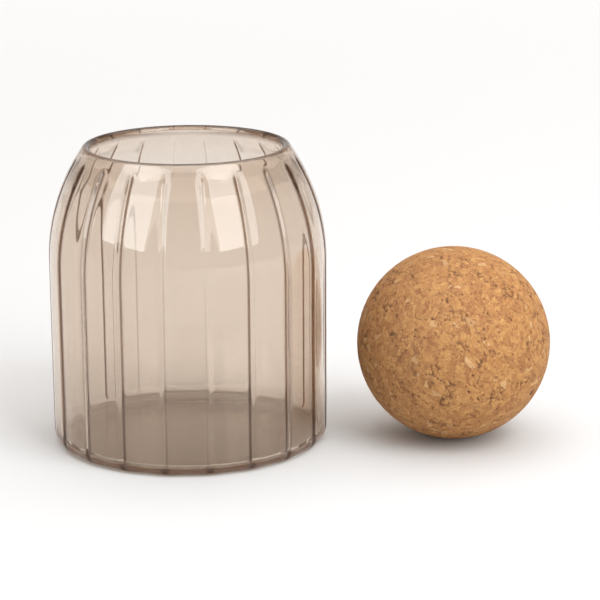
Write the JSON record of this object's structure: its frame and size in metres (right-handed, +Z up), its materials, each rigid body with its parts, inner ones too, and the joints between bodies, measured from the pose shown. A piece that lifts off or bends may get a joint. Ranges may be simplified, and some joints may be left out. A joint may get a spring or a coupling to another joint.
{
  "type": "glass storage jar with cork ball lid",
  "caption": "Round-shouldered tinted glass storage jar with fine upright grooves and a loose cork ball that closes its mouth.",
  "frame": {"origin": "on the jar's axis, on the plane of its foot", "axes": "+Z up out of the mouth; +X from the jar towards the ball that stands beside it"},
  "size_m": [0.217, 0.12, 0.13],
  "materials": {
    "tinted_glass": "clear, smoky rose-brown tint, fire-polished",
    "cork": "sanded agglomerated cork, matt"
  },
  "bodies": {
    "jar": {"glass_jar": "tinted_glass"},
    "ball_lid": {"cork_ball_lid": "cork"}
  },
  "joints": [
    {"name": "lid_lift", "type": "hinge", "parent": "jar", "child": "ball_lid", "pos_m": [0.09819, 0, 0.13874], "axis": [0, -1, 0], "range_deg": [0, 260.14]}
  ]
}
